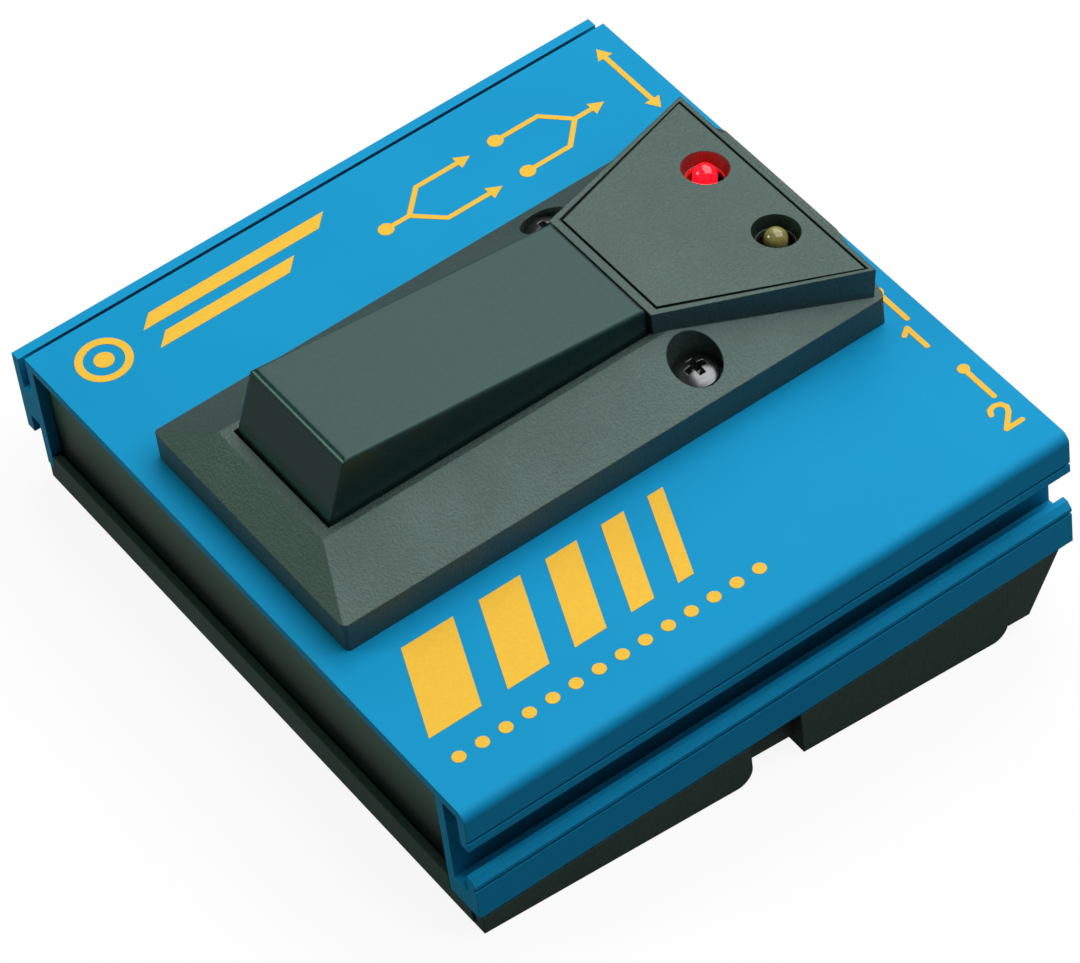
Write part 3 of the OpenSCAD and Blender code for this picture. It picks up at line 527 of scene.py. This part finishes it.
def paint(name, tone, shade, sheen, peels, depth, specular=0.5, edge=0.0, painted_shade=None):
    """Satin paint: two close tones in slow patches, an orange-peel bump and, with a function
    of the tree, painted shade that darkens it."""
    m, tree, shader = new_material(name)
    shader.inputs["Specular IOR Level"].default_value = specular
    place = own_place(tree)
    cloud = remap(tree, noise(tree, place, CLOUDS_PER_METRE, 3.0), *PATCH_RANGE, 0.0, 1.0)
    gloss = use_group(tree, sheen_group, Smooth=sheen[0], Dull=sheen[1])
    coat = blend(tree, cloud, tone, shade)
    # painted shade: darkens the coat where the function gives it
    if painted_shade:
        coat = dimmed(tree, coat, painted_shade(tree))
    wire(
        tree,
        (coat, shader.inputs["Base Color"]),
        (gloss.outputs["Roughness"], shader.inputs["Roughness"]),
    )
    add_bump(tree, noise(tree, place, peels), shader, PEEL_STRENGTH, depth, edge)
    return m


# the blue gets painted shade deep in the joining slot
blue_paint = paint(
    "blue_paint", tone=(0.008, 0.305, 0.59), shade=(0.007, 0.287, 0.56), sheen=(0.38, 0.48),
    peels=900, depth=0.00003, specular=0.04, edge=0.0002, painted_shade=slot_shade,
)
# the end panels get painted shade towards their foot and a little painted light at their top
panel_paint = paint(
    "panel_paint", tone=(0.048, 0.125, 0.09), shade=(0.056, 0.138, 0.1), sheen=(0.28, 0.36),
    peels=700, depth=0.00001, specular=0.1, painted_shade=panel_foot_shade,
)
black_steel = paint(
    "black_steel", tone=(0.012, 0.014, 0.014), shade=(0.02, 0.022, 0.022), sheen=(0.25, 0.35),
    peels=900, depth=0.00002, edge=0.0002,
)
print("paints:", [m.name for m in (blue_paint, panel_paint, black_steel)])

# %% [markdown]
# ## Metal
# Nuts and washers are bright plate, the bezel's screws are dark plate and the hinge pin, the
# spring and the small screws are bare steel. A single grey would look like plastic paint.
# Noise that is stretched along the case stands for the marks that drawing and turning leave,
# and it shifts the tone and the normal a little.

# %% Metal
MARK_STRETCH = (1, 0.08, 1)
MARK_RANGE = (0.35, 0.65)
MARK_STRENGTH = 0.15
MARK_DEPTH = 0.00001


def metal(name, tone, shade, roughness, marks_per_metre, edge=0.0):
    """Plated or bare metal with fine directional marks in its tone."""
    m, tree, shader = new_material(name, roughness)
    shader.inputs["Metallic"].default_value = 1.0
    stretch = tree.nodes.new("ShaderNodeMapping")
    stretch.inputs["Scale"].default_value = MARK_STRETCH
    wire(tree, (own_place(tree), stretch.inputs["Vector"]))
    marks = noise(tree, stretch.outputs["Vector"], marks_per_metre, 4.0)
    skin = blend(tree, remap(tree, marks, *MARK_RANGE, 0.0, 1.0), tone, shade)
    wire(tree, (skin, shader.inputs["Base Color"]))
    add_bump(tree, marks, shader, MARK_STRENGTH, MARK_DEPTH, edge)
    return m


plated_steel = metal(
    "plated_steel", tone=(0.62, 0.62, 0.6), shade=(0.5, 0.5, 0.49),
    roughness=0.22, marks_per_metre=900,
)
dark_plate = metal(
    "dark_plate", tone=(0.2, 0.21, 0.21), shade=(0.15, 0.16, 0.16),
    roughness=0.3, marks_per_metre=900, edge=0.0002,
)
bare_steel = metal(
    "bare_steel", tone=(0.5, 0.5, 0.5), shade=(0.4, 0.4, 0.41),
    roughness=0.35, marks_per_metre=1200,
)
print("metals:", [m.name for m in (plated_steel, dark_plate, bare_steel)])

# %% [markdown]
# ## Lenses
# The red lamp is lit, so its lens glows. The amber one is off and shows only its tint. A clear
# lens over a small bright source would be true to life, but it renders slowly and with specks.
# Both lenses are tinted resin with a glossy coat and a little transmission, in a tone that
# varies in fine swirls, and the lit one adds an even emission.

# %% Lenses
LENS_ROUGHNESS = 0.12
LENS_COAT = 0.6
LENS_CLEAR = 0.25
SWIRLS_PER_METRE = 900


def lens(name, tone, deep, glow_tone=None, glow=0.0):
    """Tinted lamp resin; a lit one gets its own emission."""
    m, tree, shader = new_material(name, LENS_ROUGHNESS)
    shader.inputs["Coat Weight"].default_value = LENS_COAT
    shader.inputs["Transmission Weight"].default_value = LENS_CLEAR
    swirl = remap(tree, noise(tree, own_place(tree), SWIRLS_PER_METRE), *MARK_RANGE, 0.0, 1.0)
    wire(tree, (blend(tree, swirl, tone, deep), shader.inputs["Base Color"]))
    if glow_tone:
        shader.inputs["Emission Color"].default_value = (*glow_tone, 1)
        shader.inputs["Emission Strength"].default_value = glow
    return m


red_lens = lens(
    "red_lens", tone=(0.75, 0.015, 0.03), deep=(0.55, 0.01, 0.02),
    glow_tone=(1.0, 0.0006, 0.002), glow=12.0,
)
amber_lens = lens("amber_lens", tone=(0.42, 0.36, 0.11), deep=(0.31, 0.26, 0.075))
print("lenses:", [m.name for m in (red_lens, amber_lens)])

# %% [markdown]
# ## Dress the nodes
# Each CAD node keeps its mesh and only gets its finish. Every node could have a line of its
# own, but a table by material is easier to read and to change, and a last line tells whether a
# node was forgotten.

# %% Finishes by node
finishes = {
    blue_paint: ["shell"],
    tray_plastic: ["base_tray", "battery_lid", "battery_snap", "switch_body",
                   "jack_common", "jack_first", "jack_second"],
    foot_rubber: ["feet", "stop_pad"],
    black_steel: ["base_screws"],
    dark_plate: ["bezel_screws"],
    panel_paint: ["front_panel", "rear_panel"],
    plated_steel: ["jack_washers", "jack_nuts"],
    bare_steel: ["hinge_pin", "return_spring", "board_screws", "lamp_board_screws"],
    bezel_plastic: ["bezel"],
    cover_plastic: ["lamp_plate"],
    treadle_plastic: ["treadle"],
    red_lens: ["lamp_red"],
    amber_lens: ["lamp_amber"],
    board_resin: ["main_board", "lamp_board"],
    white_plastic: ["switch_plunger", "spring_cup"],
    battery_wrap: ["battery"],
    lead_cover: ["battery_leads", "lamp_leads", "jack_leads"],
}
for finish, names in finishes.items():
    for name in names:
        node[name].data.materials.clear()
        node[name].data.materials.append(finish)
undressed = set(node) - {name for names in finishes.values() for name in names}
print("undressed nodes:", undressed)

# %% [markdown]
# ## Print on the plate
# Silk-screen ink lies on the paint as a film of a few hundredths of a millimetre. The print
# could be a mask in the paint, but then it would have no edge and no thickness, so it is made
# as a film. The marks are plain ones: slanted bars, a target, forks, arrows and the numbers of
# the two outputs. The ink is dull and finely speckled, because it is pressed through a mesh.

# %% Ink
FILM = 0.05
INK_ROUGHNESS = 0.55
INK_SPECULAR = 0.15
INK_GRAINS = 1800.0
INK_STRENGTH = 0.3
INK_DEPTH = 0.00001


def ink(name, tone, shade):
    """Screen-printed ink: two close tones in fine specks and a dull, slightly rough film."""
    m, tree, shader = new_material(name, INK_ROUGHNESS)
    shader.inputs["Specular IOR Level"].default_value = INK_SPECULAR
    grain = use_group(
        tree, grain_group, Grains_per_metre=INK_GRAINS, Dark=(*shade, 1), Light=(*tone, 1)
    )
    wire(tree, (grain.outputs["Color"], shader.inputs["Base Color"]))
    add_bump(tree, grain.outputs["Height"], shader, INK_STRENGTH, INK_DEPTH)
    return m


yellow_ink = ink("yellow_ink", tone=(0.92, 0.53, 0.05), shade=(0.87, 0.5, 0.04))
print(yellow_ink.name, "in a film of", FILM, "mm")

# %% [markdown]
# ## Strips
# Most marks are strips, some with slanted ends. A strip could be typed in point by point. Here
# it starts as a flat plane in millimetres of the case frame, as it would by hand, and two
# bisecting planes in edit mode cut its ends.

# %% Strips
def cut_away(point, facing):
    """Cuts the mesh in edit mode by a plane and clears the side that the plane faces."""
    bpy.ops.mesh.select_all(action="SELECT")
    bpy.ops.mesh.bisect(plane_co=point, plane_no=facing, clear_outer=True)


def settle(mark):
    """Writes a mark's place, turn and scale into its mesh."""
    bpy.ops.object.transform_apply(location=True, rotation=True, scale=True)
    return mark


def bar(start, end, width, slant=0.0):
    """A strip between two points; slant is how far its ends lean along it over its width."""
    a, b = Vector((*start, 0)), Vector((*end, 0))
    along = (b - a).normalized()
    across = Vector((-along.y, along.x, 0))
    heading = atan2(along.y, along.x)
    bpy.ops.mesh.primitive_plane_add(size=1, location=(a + b) / 2, rotation=(0, 0, heading))
    strip = bpy.context.object
    strip.scale = ((b - a).length + abs(slant), width, 1)
    settle(strip)
    if slant:
        facing = along - across * slant / width
        bpy.ops.object.mode_set(mode="EDIT")
        cut_away(b, facing)
        cut_away(a, -facing)
        bpy.ops.object.mode_set(mode="OBJECT")
    return strip


print("strip helpers ready")

# %% [markdown]
# ## Discs, rings, tips and lines
# A ring could be a thick curve, but then it needs converting. An inset on a filled circle, with
# the middle deleted, gives it in two steps. A circle with three corners is an arrow tip. A bent
# line is a row of strips with a disc at each point, which rounds its ends and bends.

# %% Discs, rings, tips and lines
DISC_CORNERS = 40
RING_CORNERS = 64
BEND_CORNERS = 16
TIP_RADIUS = 1.5


def disc(middle, radius, corners=DISC_CORNERS, turn=0.0):
    """A filled circle."""
    bpy.ops.mesh.primitive_circle_add(
        vertices=corners, radius=radius, fill_type="NGON",
        location=(*middle, 0), rotation=(0, 0, turn),
    )
    return settle(bpy.context.object)


def tip(middle, turn):
    """An arrow tip, which points along y before its turn."""
    return disc(middle, TIP_RADIUS, 3, turn)


def ring(middle, radius, line):
    """A circle with its middle taken out by an inset."""
    hoop = disc(middle, radius, RING_CORNERS)
    bpy.ops.object.mode_set(mode="EDIT")
    bpy.ops.mesh.select_all(action="SELECT")
    bpy.ops.mesh.inset(thickness=line)
    bpy.ops.mesh.delete(type="FACE")
    bpy.ops.object.mode_set(mode="OBJECT")
    return hoop


def stroke(points, width):
    """A line through points, as strips and discs."""
    runs = [bar(a, b, width) for a, b in zip(points, points[1:])]
    return runs + [disc(point, width / 2, BEND_CORNERS) for point in points]


print("round helpers ready")

# %% [markdown]
# ## Laying the film
# The flat marks become a film by a Solidify modifier. Marks that overlap could be left as they
# are, but two faces in one place flicker, and the mesh would not be one closed film. A boolean
# union of the film with itself merges them, and the count of open edges proves it closed.

# %% Laying the film
def lay_print(name, marks):
    """Joins marks into one piece, gives the film its thickness and lays it on the plate."""
    bpy.ops.object.select_all(action="DESELECT")
    for mark in marks:
        mark.select_set(True)
    film = marks[0]
    bpy.context.view_layer.objects.active = film
    bpy.ops.object.join()
    film.name = name
    thick = film.modifiers.new("film", "SOLIDIFY")
    thick.thickness = FILM
    thick.offset = 1
    bpy.ops.object.modifier_apply(modifier=thick.name)
    bpy.ops.object.mode_set(mode="EDIT")
    bpy.ops.mesh.select_all(action="SELECT")
    bpy.ops.mesh.intersect_boolean(operation="UNION", use_self=True, solver="EXACT")
    bpy.ops.mesh.select_all(action="DESELECT")
    bpy.ops.mesh.select_non_manifold()
    bpy.ops.object.mode_set(mode="OBJECT")
    open_edges = sum(edge.select for edge in film.data.edges)
    film.matrix_world = case_to_shared
    settle(film)
    film.data.materials.append(yellow_ink)
    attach(film, "case")
    print(name, len(film.data.polygons), "faces,", open_edges, "open edges")


print("film helper ready")

# %% [markdown]
# ## Bars beside the treadle
# The largest print is a row of bold slanted bars that run out to the rear, with a row of dots
# along the edge below them. An Array modifier would repeat one bar, but each is narrower than
# the last, so a loop draws them. The bars' ends are cut along the case, so the row has straight
# borders.

# %% Slanted bars and dots
BAR_SIDES = (27.0, 42.0)
BAR_LEAN = 6.0
BAR_RUNS = (8.5, 6.8, 5.2, 3.8, 2.6)
BAR_GAP = 3.4
BAR_FIRST = 14.5
RUN_TO_WIDTH = 0.93
DOT_SIDE = 47
DOT_FIRST = 5.5
DOT_PITCH = 3.8
DOT_COUNT = 14
DOT_RADIUS = 1.0
bars = []
reach = BAR_FIRST
for run in BAR_RUNS:
    end_lean = -run * BAR_LEAN / (BAR_SIDES[1] - BAR_SIDES[0])
    low, high = (BAR_SIDES[0], reach), (BAR_SIDES[1], reach - BAR_LEAN)
    bars.append(bar(low, high, run * RUN_TO_WIDTH, end_lean * RUN_TO_WIDTH))
    reach += run + BAR_GAP
dots = [disc((DOT_SIDE, DOT_FIRST + DOT_PITCH * i), DOT_RADIUS) for i in range(DOT_COUNT)]
lay_print("print_bars", bars + dots)

# %% [markdown]
# ## Target and stripes at the front left
# A ring with a dot in it and two stripes of unequal length fill the front left corner. They are
# the helpers' plainest use: one ring, one disc and two strips whose ends are slanted by their
# own width.

# %% Target and stripes
TARGET_PLACE = (-43, 8.5)
TARGET_RADIUS = 4.2
TARGET_LINE = 1.2
TARGET_DOT = 1.5
STRIPE_WIDTH = 2.4
STRIPE_START = 17
STRIPE_ENDS = {-45.2: 47, -40.8: 39}
target = [ring(TARGET_PLACE, TARGET_RADIUS, TARGET_LINE), disc(TARGET_PLACE, TARGET_DOT)]
stripes = [
    bar((x, STRIPE_START), (x, end), STRIPE_WIDTH, STRIPE_WIDTH)
    for x, end in STRIPE_ENDS.items()
]
lay_print("print_target", target + stripes)

# %% [markdown]
# ## Forks at the rear left
# Two forks say what the pedal does: one line becomes two, or two lines become one. Small dots
# stand for sockets, and arrow tips show the way the signal goes. The second fork could be a
# mirrored copy of the first, but a mirror turns faces inside out, so one function draws both.

# %% Forks
LINE = 0.8
FORK_SIDE = -37.5
FORK_ARM = 4
FORK_SPLIT = 0.25
FORK_BEND = 0.5
SOCKET_DOT = 1.2


def fork(x, root, run, outward):
    """A stem from a root along y that splits in two; a dot where the signal comes in and a
    tip where it leaves."""
    split, bend, end = root + run * FORK_SPLIT, root + run * FORK_BEND, root + run
    ahead, back = (0, pi) if run > 0 else (pi, 0)
    marks = stroke([(x, root), (x, split)], LINE)
    for arm in (x - FORK_ARM, x + FORK_ARM):
        marks += stroke([(x, split), (arm, bend), (arm, end)], LINE)
        marks.append(tip((arm, end), ahead) if outward else disc((arm, end), SOCKET_DOT))
    marks.append(disc((x, root), SOCKET_DOT) if outward else tip((x, root), back))
    return marks


splitting = fork(FORK_SIDE, root=53, run=16, outward=True)
joining = fork(FORK_SIDE, root=90, run=-15, outward=False)
lay_print("print_forks", splitting + joining)

# %% [markdown]
# ## Marks along the rear edge
# Each output has a dot over its socket, a short line and its number. The common socket has an
# arrow with two tips, because the signal may go either way there. The numbers could be text
# objects, but a font's outline is heavy and thin in places. A plain figure of strokes has the
# same line as the rest of the print.

# %% Rear edge
FIGURES = {
    "1": [(0.2, 3.5), (1.4, 4.4), (1.4, 0)],
    "2": [(0, 3.3), (0.4, 4.1), (1.3, 4.4), (2.2, 4.1), (2.6, 3.2), (2.2, 2.3), (0, 0), (2.7, 0)],
}
OUTPUT_SIDES = {"1": 17.8, "2": 36.8}
OUTPUT_ROW = 97.9
OUTPUT_RUN = 6.6
OUTPUT_DOT = 0.9
FIGURE_SHIFT = 12.4
FIGURE_ROW = 95.4
COMMON_ROW = 97
COMMON_ENDS = (-45, -33)
COMMON_TIPS = (-45.4, -32.6)


def numeral(figure, x, y):
    """A plain figure drawn in strokes, to be read from the right side of the case."""
    return stroke([(x - up, y + right) for right, up in FIGURES[figure]], LINE)


outputs = []
for figure, x in OUTPUT_SIDES.items():
    outputs += stroke([(x, OUTPUT_ROW), (x + OUTPUT_RUN, OUTPUT_ROW)], LINE)
    outputs.append(disc((x, OUTPUT_ROW), OUTPUT_DOT))
    outputs += numeral(figure, x + FIGURE_SHIFT, FIGURE_ROW)
both_ways = stroke([(x, COMMON_ROW) for x in COMMON_ENDS], LINE)
for x, turn in zip(COMMON_TIPS, (pi / 2, -pi / 2)):
    both_ways.append(tip((x, COMMON_ROW), turn))
lay_print("print_rear", outputs + both_ways)

# %% [markdown]
# ## Close the lesson
# The view transform could flatter the picture, but it stays Standard, so a colour renders about
# as it is written.

# %% Finish
bpy.context.scene.view_settings.view_transform = "Standard"
